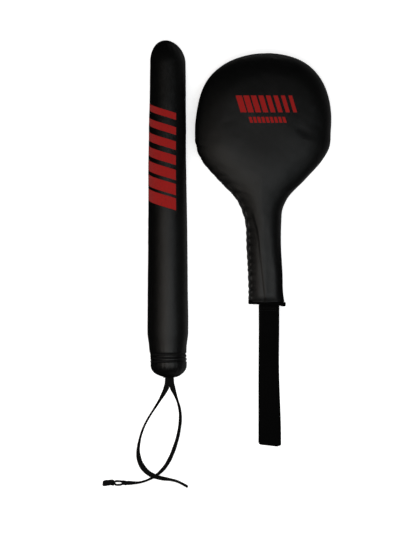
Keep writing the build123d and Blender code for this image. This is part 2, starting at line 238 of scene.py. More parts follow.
# a row of slanted bars of printed ink that get thinner along the row
inkBars, entry, leave = newGroup(
    "inkBars",
    [("Along", floatSocket, 0.0), ("Across", floatSocket, 0.0), ("Length", floatSocket, 0.1),
     ("Height", floatSocket, 0.03), ("Bars", floatSocket, 6.0), ("Slant", floatSocket, 0.35),
     ("First", floatSocket, 0.75), ("Last", floatSocket, 0.4)],
    [("Mask", floatSocket)],
)
slanted = maths(inkBars, "MULTIPLY_ADD", *[entry.outputs[name] for name in ("Across", "Slant", "Along")])
share = maths(inkBars, "ADD", maths(inkBars, "DIVIDE", slanted, entry.outputs["Length"]), 0.5)
barPlace = maths(inkBars, "MULTIPLY", share, entry.outputs["Bars"])
barShare = maths(inkBars, "DIVIDE", maths(inkBars, "FLOOR", barPlace), entry.outputs["Bars"])
fullness = put(inkBars, "ShaderNodeMapRange", {
    "Value": barShare, "To Min": entry.outputs["First"], "To Max": entry.outputs["Last"]}).outputs[0]
inBar = maths(inkBars, "LESS_THAN", maths(inkBars, "FRACT", barPlace), fullness)
inRow = maths(inkBars, "LESS_THAN", maths(inkBars, "ABSOLUTE", maths(inkBars, "SUBTRACT", share, 0.5)), 0.5)
halfHeight = maths(inkBars, "MULTIPLY", entry.outputs["Height"], 0.5)
inHeight = maths(inkBars, "LESS_THAN", maths(inkBars, "ABSOLUTE", entry.outputs["Across"]), halfHeight)
inside = maths(inkBars, "MULTIPLY", maths(inkBars, "MULTIPLY", inBar, inRow), inHeight)
inkBars.links.new(inside, leave.inputs["Mask"])

# handling wear: scattered dull scuffs, placed by noise
rubWear, entry, leave = newGroup(
    "rubWear",
    [("Vector", vectorSocket, None), ("Size", floatSocket, 0.01), ("Amount", floatSocket, 0.4)],
    [("Scuffs", floatSocket)],
)
broad = noiseOf(rubWear, entry.outputs["Vector"], entry.outputs["Size"], 5.0, 0.65)
rubWear.links.new(maths(rubWear, "MULTIPLY", ramp(rubWear, broad, 0.56, 0.72), entry.outputs["Amount"]),
                  leave.inputs["Scuffs"])


def newMaterial(name, color, roughness, specular=0.5, metallic=0.0):
    material = bpy.data.materials.new(name)
    material.use_nodes = True
    tree = material.node_tree
    shader = tree.nodes["Principled BSDF"]
    shader.inputs["Base Color"].default_value = (*color, 1)
    shader.inputs["Roughness"].default_value = roughness
    shader.inputs["Metallic"].default_value = metallic
    shader.inputs["Specular IOR Level"].default_value = specular
    place = tree.nodes.new("ShaderNodeTexCoord").outputs["Object"]
    return material, tree, shader, place


def addGroup(tree, group, links):
    return put(tree, "ShaderNodeGroup", links, node_tree=group)


def blendColor(tree, mask, first, second):
    links = {"Factor": mask, 6: (*first, 1) if isinstance(first, tuple) else first,
             7: (*second, 1) if isinstance(second, tuple) else second}
    return put(tree, "ShaderNodeMix", links, data_type="RGBA").outputs[2]


def spread(tree, value, low, high):
    # value 0 to 1 becomes low to high
    return put(tree, "ShaderNodeMapRange", {"Value": value, "To Min": low, "To Max": high}).outputs[0]


def bumpOf(tree, shader, height, distance, strength=1.0):
    bump = put(tree, "ShaderNodeBump", {"Height": height, "Distance": distance, "Strength": strength})
    tree.links.new(bump.outputs[0], shader.inputs["Normal"])


leatherLook = {
    "color": (0.0010, 0.0010, 0.0011),
    "worn": (0.0030, 0.0029, 0.0028),
    "ink": (0.212, 0.0012, 0.0004),
    "roughness": (0.36, 0.43),
    "specular": 0.36,
    "pebble": 0.0009,
    "patch": 0.045,
    "grainDepth": 0.00006,
}


def leatherMaterial(name, inkOf=None):
    # satin coated leathercloth; inkOf gives the mask of the printed bars from the tree
    look = leatherLook
    material, tree, shader, place = newMaterial(name, look["color"], 0.45, look["specular"])
    grain = addGroup(tree, leatherGrain, {"Vector": place, "Pebble": look["pebble"], "Patch": look["patch"]})
    wear = addGroup(tree, rubWear, {"Vector": place, "Size": 0.012, "Amount": 0.5})
    tone = maths(tree, "MULTIPLY_ADD", grain.outputs["Patches"], 0.5, wear.outputs["Scuffs"])
    color = blendColor(tree, tone, look["color"], look["worn"])
    rough = spread(tree, grain.outputs["Patches"], *look["roughness"])
    height = grain.outputs["Height"]
    if inkOf:
        mask = inkOf(tree, place)
        speck = ramp(tree, noiseOf(tree, place, 0.0011, 2.0), 0.30, 0.36)  # pin holes in the ink
        mask = maths(tree, "MULTIPLY", mask, speck)
        color = blendColor(tree, mask, color, look["ink"])
        rough = maths(tree, "MULTIPLY_ADD", mask, 0.60, rough)
        height = maths(tree, "MULTIPLY_ADD", mask, 1.2, height)
    tree.links.new(color, shader.inputs["Base Color"])
    tree.links.new(rough, shader.inputs["Roughness"])
    bumpOf(tree, shader, height, look["grainDepth"])
    return material


def wovenMaterial(name, color, pick, rib, roughness=0.75, depth=0.00025, specular=0.12):
    # woven tape or webbing: the piece's own UV map runs along and across it, in metres
    material, tree, shader, place = newMaterial(name, color, roughness, specular)
    uv = put(tree, "ShaderNodeUVMap", uv_map="UVMap")
    apart = put(tree, "ShaderNodeSeparateXYZ", {0: uv.outputs[0]})
    face = addGroup(tree, wovenFace, {
        "Along": apart.outputs[0], "Across": apart.outputs[1], "Pick": pick, "Rib": rib})
    fuzz = noiseOf(tree, place, 0.0016, 4.0, 0.7)
    # the colour is lighter where the weave's crowns stand up and darker in its hollows: a painted highlight
    # on the crowns and painted shade in the hollows, varied at random by the fuzz noise
    tone = maths(tree, "MULTIPLY", face.outputs["Height"], fuzz)
    crownHighlightColor = tuple(channel * 2.6 for channel in color)
    tree.links.new(blendColor(tree, tone, color, crownHighlightColor), shader.inputs["Base Color"])
    tree.links.new(spread(tree, fuzz, roughness - 0.08, roughness + 0.12), shader.inputs["Roughness"])
    bumpOf(tree, shader, maths(tree, "MULTIPLY_ADD", fuzz, 0.25, face.outputs["Height"]), depth)
    return material


def plainMaterial(name, color, roughness, size, depth, spreadOf=0.35, metallic=0.0):
    # a moulded, foamed or plated finish: fine noise moves its tone, gloss and surface
    material, tree, shader, place = newMaterial(name, color, roughness, 0.45, metallic)
    fine = noiseOf(tree, place, size, 5.0, 0.65)
    dark = tuple(channel * (1 - spreadOf) for channel in color)
    tree.links.new(blendColor(tree, fine, dark, color), shader.inputs["Base Color"])
    tree.links.new(spread(tree, fine, roughness - 0.07, roughness + 0.1), shader.inputs["Roughness"])
    bumpOf(tree, shader, fine, depth)
    return material


print("shader groups made")

studio = {
    "height": 8.0,  # camera above the table
    "frameTall": 0.9515,  # what the picture's long side takes in
    "centre": (-0.0710, -0.0411),
    "floorSize": 6.0,
    "floorGloss": (0.010, 0.22),  # what gloss sees of the table, and what the paler part adds
    "air": 0.78,  # even light of the room
    "lights": {  # size, place, the point it faces, watts, colour
        "softboxLeft": ((0.475, 0.60), (-0.4175, -0.222, 0.80), (-0.4175, -0.222, 0), 2.0, (1.0, 0.90, 0.80)),
        "softboxRight": ((0.515, 0.60), (0.0775, -0.222, 0.80), (0.0775, -0.222, 0), 2.10, (0.92, 0.98, 1.0)),
        "rightCard": ((2.4, 0.10), (1.6, -0.1, 0.12), (0.0, -0.1, 0.05), 0.15, (0.95, 0.98, 1.0)),
    },
}


def makeCamera():
    camera = bpy.data.objects.new("camera", bpy.data.cameras.new("camera"))
    bpy.context.scene.collection.objects.link(camera)
    camera.location = (*studio["centre"], studio["height"])
    sensor = camera.data.sensor_width
    camera.data.lens = sensor * studio["height"] / studio["frameTall"]
    bpy.context.scene.camera = camera


def makeLight(name, size, place, aim, power, color):
    data = bpy.data.lights.new(name, "AREA")
    data.shape = "RECTANGLE"
    data.size, data.size_y = size
    data.energy, data.color = power, color
    light = bpy.data.objects.new(name, data)
    bpy.context.scene.collection.objects.link(light)
    light.location = place
    way = np.array(aim, float) - np.array(place, float)
    light.rotation_euler = Vector(way).to_track_quat("-Z", "Y").to_euler()
    light.visible_camera = False


def makeFloor():
    # plain white table top; gloss sees it darker, so that the black leather keeps its dark edges, and a
    # little paler from the stick's right side on, apart from the part beside the handle
    material, tree, shader, place = newMaterial("tableTop", (0.90, 0.90, 0.90), 0.9, 0.0)
    dark = tree.nodes.new("ShaderNodeBsdfDiffuse")
    apart = put(tree, "ShaderNodeSeparateXYZ", {0: place})
    beside = maths(tree, "MULTIPLY", ramp(tree, apart.outputs[0], 0.0, 0.06),
                   maths(tree, "SUBTRACT", 1.0, ramp(tree, apart.outputs[1], -0.03, 0.05)))
    patch = maths(tree, "SUBTRACT", ramp(tree, apart.outputs[0], -0.10, -0.05), beside)
    least, more = studio["floorGloss"]
    tree.links.new(maths(tree, "MULTIPLY_ADD", patch, more, least), dark.inputs[0])
    path = tree.nodes.new("ShaderNodeLightPath")
    lift = maths(tree, "MULTIPLY", path.outputs["Is Camera Ray"], 0.5)
    tree.links.new(lift, shader.inputs["Emission Strength"])
    shader.inputs["Emission Color"].default_value = (1, 1, 1, 1)
    mix = tree.nodes.new("ShaderNodeMixShader")
    tree.links.new(path.outputs["Is Glossy Ray"], mix.inputs[0])
    tree.links.new(shader.outputs[0], mix.inputs[1])
    tree.links.new(dark.outputs[0], mix.inputs[2])
    tree.links.new(mix.outputs[0], tree.nodes["Material Output"].inputs[0])
    half = studio["floorSize"] / 2 / mm
    line = np.linspace(-half, half, 2)
    grid = np.stack([*np.meshgrid(line, line), np.full((2, 2), -0.3)], axis=-1)
    floor = makePiece("floor", [grid], material)


def makeStudio():
    # two softboxes, warm on the left and cool on the right, give the gloss; the even light of the room
    # reaches matt surfaces only
    makeFloor()
    for name, light in studio["lights"].items():
        makeLight(name, *light)
    world = bpy.data.worlds.new("studioAir")
    bpy.context.scene.world = world
    world.use_nodes = True
    world.node_tree.nodes["Background"].inputs[0].default_value = (1, 1, 1, 1)
    world.node_tree.nodes["Background"].inputs[1].default_value = studio["air"]
    world.cycles_visibility.glossy = False
    bpy.context.scene.view_settings.view_transform = "Standard"


makeCamera()
makeStudio()
print("camera and light made")

threadBlack = plainMaterial("threadBlack", (0.003, 0.003, 0.0032), 0.72, 0.0006, 0.00005)
tapeBlack = wovenMaterial("tapeBlack", (0.0019, 0.0019, 0.0019), 0.0011, 0.0009, 0.78, 0.00025, 0.09)
webbingBlack = wovenMaterial("webbingBlack", (0.0006, 0.0006, 0.0006), 0.0013, 0.0021, 0.82, 0.0005, 0.07)
# a darker, duller copy of the black thread for the rows at the strap's root: painted shade, as if the rows
# lay in the hem's shadow
threadShadedCopy = plainMaterial("threadShadedCopy", (0.0012, 0.0012, 0.0013), 0.85, 0.0006, 0.00005)
hemBlack = wovenMaterial("hemBlack", (0.0006, 0.0006, 0.0006), 0.0010, 0.0010, 0.85, 0.00015, 0.04)

# the wrist lace: x, y, z in metres of the tape's middle, its tilt in degrees (0 is face up, 90 on edge)
# and its width in mm
laceLook = {
    "width": 8.0,
    "thick": 1.6,
    "left": [
        (-0.1285, -0.2328, 0.0366, 0, 7.6),
        (-0.1291, -0.2470, 0.0368, 0, 8.8),
        (-0.1302, -0.2560, 0.0360, 6, 10.2),
        (-0.1385, -0.2725, 0.0300, 50, 8.4),
        (-0.1507, -0.2918, 0.0200, 66, 8.0),
        (-0.1637, -0.3118, 0.0095, 66, 7.4),
        (-0.1737, -0.3323, 0.0043, 66, 7.6),
        (-0.1797, -0.3538, 0.0041, 62, 8.0),
        (-0.1822, -0.3748, 0.0036, 44, 9.2),
        (-0.1767, -0.3958, 0.0022, 16, 10.2),
        (-0.1625, -0.4115, 0.0013, 3, 9.6),
        (-0.1432, -0.4188, 0.0018, 18, 8.0),
        (-0.1232, -0.4212, 0.0036, 56, 7.4),
        (-0.1077, -0.4253, 0.0037, 58, 7.2),
        (-0.0925, -0.4345, 0.0036, 56, 7.4),
    ],
    "right": [
        (-0.1219, -0.2328, 0.0366, 0, 7.6),
        (-0.1214, -0.2470, 0.0368, 0, 8.8),
        (-0.1202, -0.2560, 0.0358, -2, 10.2),
        (-0.1138, -0.2725, 0.0300, -64, 8.2),
        (-0.1072, -0.2918, 0.0195, -56, 8.0),
        (-0.1054, -0.3128, 0.0085, -48, 8.2),
        (-0.1090, -0.3393, 0.0037, -50, 8.2),
        (-0.1152, -0.3608, 0.0036, -41, 8.4),
        (-0.1230, -0.3815, 0.0035, -34, 8.4),
        (-0.1337, -0.4000, 0.0042, -36, 8.2),
        (-0.1482, -0.4138, 0.0068, -54, 8.0),
        (-0.1642, -0.4222, 0.0066, -66, 7.2),
        (-0.1782, -0.4266, 0.0040, -64, 7.2),
        (-0.1892, -0.4273, 0.0034, -50, 7.6),
        (-0.2017, -0.4273, 0.0016, -6, 8.2),
    ],
    "leftLength": 0.268,
    "rightLength": 0.252,
}


def nurbsPoints(name, points):
    # a smooth line near the given points, read back as points along it
    points = np.array(points, float)
    curve = bpy.data.curves.new(name, "CURVE")
    curve.dimensions = "3D"
    curve.resolution_u = 10
    spline = curve.splines.new("NURBS")
    spline.points.add(len(points) - 1)
    spline.points.foreach_set("co", np.column_stack([points, np.ones(len(points))]).ravel())
    spline.order_u = 3
    spline.use_endpoint_u = True
    holder = bpy.data.objects.new(name, curve)
    bpy.context.scene.collection.objects.link(holder)
    mesh = bpy.data.meshes.new_from_object(holder)
    flat = np.empty(len(mesh.vertices) * 3)
    mesh.vertices.foreach_get("co", flat)
    bpy.data.objects.remove(holder)
    bpy.data.meshes.remove(mesh)
    return flat.reshape(-1, 3)


def layTape(name, points):
    # a flat woven tape along a smooth line, turned by the tilt; nothing of it goes below the table
    look = laceLook
    points = np.array(points)
    line = nurbsPoints(name + "Line", points[:, :3])
    tilt = nurbsPoints(name + "Tilt", np.column_stack([points[:, 3:] / 1000, points[:, 3] * 0]))
    tilt, width = tilt[:, 0] * 1000, tilt[:, 1] * 1000
    width = width * (1 + 0.03 * np.sin(np.arange(len(line)) * 0.55))
    section = ovalSection(24, 0.45)
    grid, uv = carry(line / mm, width, look["thick"], section, tilt)
    grid[..., 2] = np.maximum(grid[..., 2], 0.05)
    tape = makePiece(name, [grid], tapeBlack, [uv])
    run = np.linalg.norm(np.diff(line, axis=0), axis=1).sum()
    print(name, "runs", round(run, 4), "m")
    return tape


eyeLook = {
    "middle": (-216.15, -427.32, 1.75),  # of the eye, in mm
    "halfSlot": (7.8, 3.3),  # to the middle of the band round the eye
    "band": (3.7, 2.9),
    "sleeve": (-211.0, -201.0),
    "tail": (-223.0, -245.2),
    "tailWidth": 10.4,
    "tailThick": 4.2,
}


def makeLaceEye():
    # the eye's band is a stadium loop; the sleeve and the thick sewn tail are lumpy closed ovals along X
    look = eyeLook
    x0, y0, z0 = look["middle"]
    angle = np.linspace(0, 2 * np.pi, 64, endpoint=False)
    halfLong, halfWide = look["halfSlot"]
    loopX = np.sign(np.cos(angle)) * np.abs(np.cos(angle)) ** 0.6 * halfLong
    loopY = np.sin(angle) * halfWide * (1 + 0.10 * np.sin(3 * angle + 1))
    loop = np.stack([x0 + loopX, y0 + loopY, z0 + 0.15 * np.sin(2 * angle)], axis=-1)
    grids, uvs = [], []
    grid, uv = carry(loop, *look["band"], ovalSection(12, 0.7), closed=True)
    grids.append(grid)
    uvs.append(uv)
    for (start, stop), width, thick, lump, seed in (
        (look["sleeve"], 8.3, 3.0, 0.25, 4),
        (look["tail"], look["tailWidth"], look["tailThick"], 0.75, 9),
    ):
        share = np.linspace(0, 1, 40)
        line = [start + (stop - start) * share, y0 + 0.5 * np.sin(share * 5), z0 + 0.3 * share]
        line = np.stack(line, axis=-1)
        full = np.clip(1 - np.abs(2 * share - 1) ** 7, 0, 1) ** 0.5
        grid, uv = carry(line, width * full, thick * full, ovalSection(28, 0.75))
        grid = grid + softNoise(grid, 5.0, seed)[..., None] * lump * np.array([0.7, 0.8, 0.5])
        grids.append(grid)
        uvs.append(uv)
    for turn in range(4):  # thread wound round the tail's root
        around = np.linspace(0, 2 * np.pi, 24, endpoint=False)
        x = look["tail"][0] - 2.2 - turn * 0.75 + 0.3 * np.sin(around)
        ring = np.stack([x, y0 + 4.7 * np.cos(around), z0 + 0.2 + 1.9 * np.sin(around)], axis=-1)
        grid, uv = carry(ring, 0.8, 0.8, ovalSection(6), closed=True, reference=(1, 0, 0))
        grids.append(grid)
        uvs.append(uv)
    for grid in grids:
        grid[..., 2] = np.maximum(grid[..., 2], 0.05)
    eye = makePiece("laceEye", grids, tapeBlack, uvs)
    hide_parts("lace_eye")
    return eye


laceEye = makeLaceEye()
laceLeft = layTape("laceLeft", laceLook["left"])
laceRight = layTape("laceRight", laceLook["right"])
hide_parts("lace_leg_left")
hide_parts("lace_leg_right")
for piece in (laceEye, laceLeft, laceRight):
    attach(piece, "stick")
print("wrist lace made")

# the stick: distances along it are from the butt end
stickLook = {
    "butt": (-128.15, -238.821, 36.70),
    "dip": 0.56293,  # degrees that its axis falls towards the tip
    "length": 600.0,
    "radii": (32.2, 36.2, 31.6),  # neck, belly, tip
    "buttDome": 24.0,
    "neckEnd": 48.0,
    "bellyPlace": 102.0,
    "tipStart": 560.0,
    "grooves": (29.4, 35.6, 41.8),
    "grooveDepth": 2.6,
    "grooveWidth": 1.2,
    "grooveRise": 0.022,  # the windings climb towards +X
    "threadRadius": 0.5,
    "seamAngle": 140.0,  # round from the top towards +X
    "seamRadius": 33.0,
    "tipLean": 3.8,  # the sewn tip leans a little to the left
    "buttLean": (1.4, 2.4),  # the bound butt and its very end lean to the right
    "inkAlong": (307.0, 494.0),
    "inkRound": (-52.6, 15.8),
}


def stickFrame():
    # its butt, the way along it and the way up from it
    dip = math.radians(stickLook["dip"])
    return (np.array(stickLook["butt"]), np.array([0, math.cos(dip), -math.sin(dip)]),
            np.array([0, math.sin(dip), math.cos(dip)]))


def stickRadius(a):
    # two quarter ellipses at the ends, a neck that swells into the belly, and a straight taper
    look = stickLook
    neck, belly, tip = look["radii"]
    body = neck + (belly - neck) * smooth(look["neckEnd"] - 5, look["bellyPlace"] - 19, a)
    taper = (tip - belly) * np.clip((a - look["bellyPlace"]) / (look["tipStart"] - look["bellyPlace"]), 0, 1)
    butt = np.sqrt(1 - np.clip(1 - a / look["buttDome"], 0, 1) ** 2.2)
    dome = look["length"] - look["tipStart"]
    end = np.sqrt(np.clip(1 - np.clip((a - look["tipStart"]) / dome, 0, 1) ** 1.9, 0, 1))
    return (body + taper) * butt * end


def stickPoint(a, angle, radius):
    # the point at this distance from the butt, this turn from the top and this far from the axis
    origin, along, up = stickFrame()
    return (origin + a[..., None] * along + (radius * np.sin(angle))[..., None] * np.array([1.0, 0, 0])
            + (radius * np.cos(angle))[..., None] * up)


def grooveDepth(angle):
    # the windings cut deepest above and below
    return stickLook["grooveDepth"] * (0.65 + 0.35 * np.cos(angle) ** 2)


def stickSeam(angle):
    # mm round from the seam
    return (angle - math.radians(stickLook["seamAngle"])) * stickLook["seamRadius"]


def makeStickSkin():
    # a surface of revolution whose radius loses grooves, gathers and a seam valley, and gains low lumps
    look = stickLook
    quarter = np.linspace(0, np.pi / 2, 22)
    rows = np.concatenate([
        look["buttDome"] * (1 - np.cos(quarter)), np.linspace(24, 52, 90)[1:], np.linspace(52, 560, 230)[1:],
        look["tipStart"] + (look["length"] - look["tipStart"]) * np.sin(quarter)[1:]])
    a, angle = np.meshgrid(rows, np.linspace(-np.pi, np.pi, 121), indexing="ij")
    base = stickRadius(a)
    bare = stickPoint(a, angle, base)
    radius = base.copy()
    gather = np.sin(angle * 23 + 2.2 * np.sin(angle * 3)) * 0.5 + np.sin(angle * 37 + 1.3) * 0.3
    for place in look["grooves"]:
        away = a - place - look["grooveRise"] * base * np.sin(angle)
        radius -= grooveDepth(angle) * np.exp(-(away / look["grooveWidth"]) ** 2)
        radius += 0.35 * gather * np.exp(-(away / 3.2) ** 2)
    radius += 0.55 * smooth(43, 47, a) * (1 - smooth(48, 62, a)) * (1 + 0.4 * gather)
    radius += 0.5 * gather * smooth(2, 12, a) * (1 - smooth(18, 30, a))
    radius += 0.28 * np.sin(angle * 16) * np.exp(-((a - 587) / 9) ** 2)
    radius -= 0.8 * np.exp(-(stickSeam(angle) / 1.3) ** 2) * smooth(50, 70, a) * (1 - smooth(575, 592, a))
    radius += 0.45 * np.exp(-((a - 370) / 95) ** 2)
    radius += softNoise(bare, 60.0, 3) * 0.30 * smooth(50, 90, a)
    radius += softNoise(bare, 17.0, 5) * 0.09 * smooth(3, 20, a)
    radius *= np.where(base < 1e-6, 0, 1)
    grid = stickPoint(a, angle, np.maximum(radius, 0))
    toTip = np.clip((a - 548) / 52, 0, 1)
    grid[..., 0] -= look["tipLean"] * toTip ** 2
    bound, end = look["buttLean"]
    grid[..., 0] += bound * (1 - smooth(30, 52, a)) + end * (1 - smooth(0, 9, a))
    grid[..., 0] -= 1.0 * np.exp(-((a - 370) / 95) ** 2)  # and its middle bows to the left
    grid[..., 2] = np.maximum(grid[..., 2], 0.15)
    uv = np.stack([a, angle * base], axis=-1)

    def inkOf(tree, place):
        uvMap = put(tree, "ShaderNodeUVMap", uv_map="UVMap")
        apart = put(tree, "ShaderNodeSeparateXYZ", {0: uvMap.outputs[0]})
        (low, high), (left, right) = look["inkAlong"], look["inkRound"]
        bars = addGroup(tree, inkBars, {
            "Along": maths(tree, "SUBTRACT", apart.outputs[0], (low + high) / 2 * mm),
            "Across": maths(tree, "SUBTRACT", apart.outputs[1], (left + right) / 2 * mm),
            "Length": (high - low) * mm, "Height": (right - left) * mm, "Bars": 7.0, "Slant": 0.30,
            "First": 0.80, "Last": 0.40})
        return bars.outputs["Mask"]

    skin = makePiece("stickSkin", [grid], leatherMaterial("stickLeather", inkOf), [uv])
    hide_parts("stick_cover", "stick_tip_cap", "stick_butt_cap", "stick_outer_foam", "stick_tip_foam",
                "stick_butt_foam")
    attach(skin, "stick")


def makeNeckThread():
    # two turns of waxed thread lie side by side in each groove
    look = stickLook
    angle = np.linspace(0, 2 * np.pi, 96, endpoint=False)
    grids, uvs = [], []
    for place in look["grooves"]:
        for half in (-0.5, 0.5):
            radius = stickRadius(np.full(96, place)) - grooveDepth(angle) + look["threadRadius"] * 0.9
            a = place + half * 2 * look["threadRadius"] + look["grooveRise"] * radius * np.sin(angle)
            ring = stickPoint(a, angle, radius)
            grid, uv = carry(ring, 2 * look["threadRadius"], 2 * look["threadRadius"], ovalSection(8),
                             closed=True, reference=(0, 1, 0))
            grids.append(grid)
            uvs.append(uv)
    thread = makePiece("neckThread", grids, threadBlack, uvs)
    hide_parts("neck_bindings")
    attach(thread, "stick")


def makeStickSeamThread():
    # running stitches along the closing seam: each is an arc that dips into the skin at both ends
    look = stickLook
    arc = np.linspace(-1, 1, 7)
    grids, uvs = [], []
    for place in np.arange(look["bellyPlace"] + 10, look["tipStart"] - 10, 8.0):
        a = place + 2.5 * (arc + 1)
        angle = np.full(7, math.radians(look["seamAngle"]))
        line = stickPoint(a, angle, stickRadius(a) - 0.15 - 0.9 * arc ** 4)
        grid, uv = carry(line, 1.0, 1.0, ovalSection(8), reference=(1, 0, 0))
        grids.append(grid)
        uvs.append(uv)
    thread = makePiece("stickSeamThread", grids, threadBlack, uvs)
    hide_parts("stick_closing_stitches")
    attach(thread, "stick")


makeStickSkin()
makeNeckThread()
makeStickSeamThread()
print("stick made")

# the paddle: an edge gives the drop below the top, then the distance from the axis, where its curve changes
paddleLook = {
    "axis": 41.85,
    "top": 338.3,
    "middle": 25.0,
    "leftEdge": [
        (0, 6), (10, -51), (45, -98), (105, -119), (145, -121.5), (190, -109), (225, -79.5), (260, -47),
        (295, -32.5), (345, -29), (420, -25.5), (470, -25.5),
    ],
    "rightEdge": [
        (0, 6), (10, 61), (45, 102), (105, 120.5), (140, 120), (170, 116.5), (190, 105), (225, 74), (258, 43),
        (280, 33.5), (300, 32), (345, 31.5), (390, 34), (430, 35.5), (447, 38), (470, 40),
    ],
    "dropScale": 130.0,
    "headHalf": 25.0,
    "gripHalf": 20.0,
    "thinning": (150.0, 400.0),
    "headRim": 42.0,
    "gripRim": 20.0,
    "crown": 4.8,
    "end": 446.8,
    "puckerStart": 148.0,
    "puckerPitch": (20.5, 12.5),  # on the head, on the handle
    "puckerHeight": 2.1,
    "weltHeight": 3.4,
    "inkRows": [  # middle x and y, length and height in metres, bars, slant, how full the first and last are
        (0.0500, 0.2472, 0.107, 0.030, 8.0, 0.30, 0.82, 0.45),
        (0.0500, 0.2190, 0.067, 0.0105, 9.0, 0.30, 0.70, 0.70),
    ],
    "crease": [(-29.4, 246.0), (-18.5, 288.2), (-10.5, 318.5), (-4.2, 372.0), (3.5, 438.0)],  # across, drop
    "creaseDepth": 1.3,
}


def paddleRow(turn):
    # the drop grows as a cosine over the first quarter, then evenly
    scale = paddleLook["dropScale"]
    return np.where(turn < np.pi / 2, scale * (1 - np.cos(np.minimum(turn, np.pi / 2))),
                    scale * (1 + turn - np.pi / 2))


def paddleTurn(drop):
    # the other way round: the turn at a drop
    scale = paddleLook["dropScale"]
    return np.where(drop < scale, np.arccos(np.clip(1 - drop / scale, -1, 1)), np.pi / 2 + drop / scale - 1)


def paddleEdges(turn):
    # left and right edge from the axis, and on the left how far each place is between two stitches
    look = paddleLook
    edges = [np.array(look[name], float) for name in ("leftEdge", "rightEdge")]
    left, right = [through(turn, paddleTurn(edge[:, 0]), edge[:, 1]) for edge in edges]
    drop = paddleRow(turn)
    step = np.hypot(np.gradient(left), np.gradient(drop))
    onHead, onHandle = look["puckerPitch"]
    pitch = onHead + (onHandle - onHead) * smooth(200, 400, drop)
    phase = np.cumsum(step / pitch)
    phase -= np.interp(look["puckerStart"], drop, phase)
    phase += 0.13 * np.sin(1.7 * phase)  # hand-sewn: the stitches are not quite even
    return left, right, phase


def paddleHeight(x, drop, outline, side):
    # half the thickness at each place: an elliptic rim over the distance to the outline, then flat;
    # the rim is wider on the seam side
    look = paddleLook
    near = np.full(x.shape, 1e9)
    for part in np.array_split(outline, 24):
        away = np.hypot(x[..., None] - part[:, 0], drop[..., None] - part[:, 1])
        near = np.minimum(near, away.min(-1))
    near[np.abs(side) > 0.999999] = 0  # front and back meet at the seam
    thin = smooth(*look["thinning"], drop)
    rim = look["headRim"] + (look["gripRim"] - look["headRim"]) * thin
    half = look["headHalf"] + (look["gripHalf"] - look["headHalf"]) * thin
    low = smooth(230, 300, drop)
    rim = rim * (1 - 0.26 * side * low + 0.60 * smooth(0, 1, -side) * (1 - low))
    share = np.clip(near / rim, 0, 1)
    return half * np.sqrt(1 - (1 - share) ** 2), near


def makePaddleGrid():
    # rows run down from the top; each row goes round the section, front from left to right, back again
    look = paddleLook
    turn = np.linspace(0, paddleTurn(np.array(look["end"])), 190)
    left, right, phase = paddleEdges(turn)
    drop = paddleRow(turn)
    fine = np.linspace(0, turn[-1] + 0.3, 1600)
    outline = np.concatenate([np.column_stack([edge, paddleRow(fine)]) for edge in paddleEdges(fine)[:2]])
    loop = np.linspace(-np.pi / 2, 3 * np.pi / 2, 121)
    rowDrop, around = np.meshgrid(drop, loop, indexing="ij")
    middle, halfWide = ((left + right) / 2)[:, None], ((right - left) / 2)[:, None]
    side = np.sin(around)
    x = middle + halfWide * side
    half, near = paddleHeight(x, rowDrop, outline, side)
    front = np.cos(around) >= 0
    crown = look["crown"] * smooth(0, 90, near) * np.where(front, 1, 0)
    z = np.where(front, 1, -1) * half + crown
    # puckers: between two stitches the left rim swells out, at a stitch it is drawn in
    leftShare = smooth(0.2, 1.0, -side) * np.exp(-near / 9)
    pull = (np.abs(np.sin(np.pi * phase)) ** 0.6)[:, None]
    ready = smooth(look["puckerStart"] - 12, look["puckerStart"] + 6, rowDrop)
    x -= look["puckerHeight"] * (pull - 0.15) * leftShare * ready
    z *= 1 - (0.08 + 0.04 * smooth(250, 320, rowDrop)) * (1 - pull) * leftShare * ready
    welt = (side < 0) * np.exp(-((near - 3.0) / 1.9) ** 2) * (pull - 0.2) * ready * smooth(180, 300, rowDrop)
    welt *= smooth(0, 1.2, near)
    z += look["weltHeight"] * welt * np.where(front, 1, -1)
    z *= 1 - 0.27 * smooth(424, 447, rowDrop) ** 2  # the handle rounds over towards its hem
    # the crease down the handle's front: the left side steps down under the right one, below a low roof
    crease = np.array(look["crease"])
    away = x - through(rowDrop, crease[:, 1], crease[:, 0])
    shown = smooth(279, 294, rowDrop) * front * smooth(0, 12, near)
    z -= look["creaseDepth"] * (1 - smooth(-1.6, 0.8, away)) * shown
    z += 0.8 * np.exp(-np.abs(away) / 10) * smooth(276, 360, rowDrop) * front * smooth(0, 8, near)
    grid = np.stack([look["axis"] + x, look["top"] - rowDrop, look["middle"] + z], axis=-1)
    lift = softNoise(grid, 75.0, 11) * 0.55 * smooth(4, 25, near)
    lift += softNoise(grid, 20.0, 12) * 0.10 * smooth(1, 8, near)
    grid[..., 2] += lift * np.where(front, 1, 0.3)
    lip = grid[-1:].copy()
    centre = lip.mean((0, 1))
    lips = []
    for inward, share in ((0.0, 0.955), (5.0, 0.945)):
        ring = centre + (lip - centre) * share
        ring[..., 1] = lip[..., 1] + inward
        lips.append(ring)
    grid = np.concatenate([grid, *lips])
    grid[..., 2] = np.maximum(grid[..., 2], 0.1)
    return grid


def paddleInk(tree, place):
    # two rows of bars on the face only
    apart = put(tree, "ShaderNodeSeparateXYZ", {0: place})
    masks = []
    for x, y, length, height, bars, slant, first, last in paddleLook["inkRows"]:
        row = addGroup(tree, inkBars, {
            "Along": maths(tree, "SUBTRACT", apart.outputs[0], x),
            "Across": maths(tree, "SUBTRACT", apart.outputs[1], y),
            "Length": length, "Height": height, "Bars": bars, "Slant": slant, "First": first, "Last": last})
        masks.append(row.outputs["Mask"])
    both = maths(tree, "MAXIMUM", *masks)
    onFront = maths(tree, "GREATER_THAN", apart.outputs[2], paddleLook["middle"] * mm)
    return maths(tree, "MULTIPLY", both, onFront)


puffLook = {
    "cap": 0.9,  # mm that no point moves past
    "force": 0.7,
    "mass": 0.25,
    "stretch": 20,
    "shear": 8,
    "bending": 5,
    "damping": 3,
    "swell": 0.001,
    "frames": 16,
}


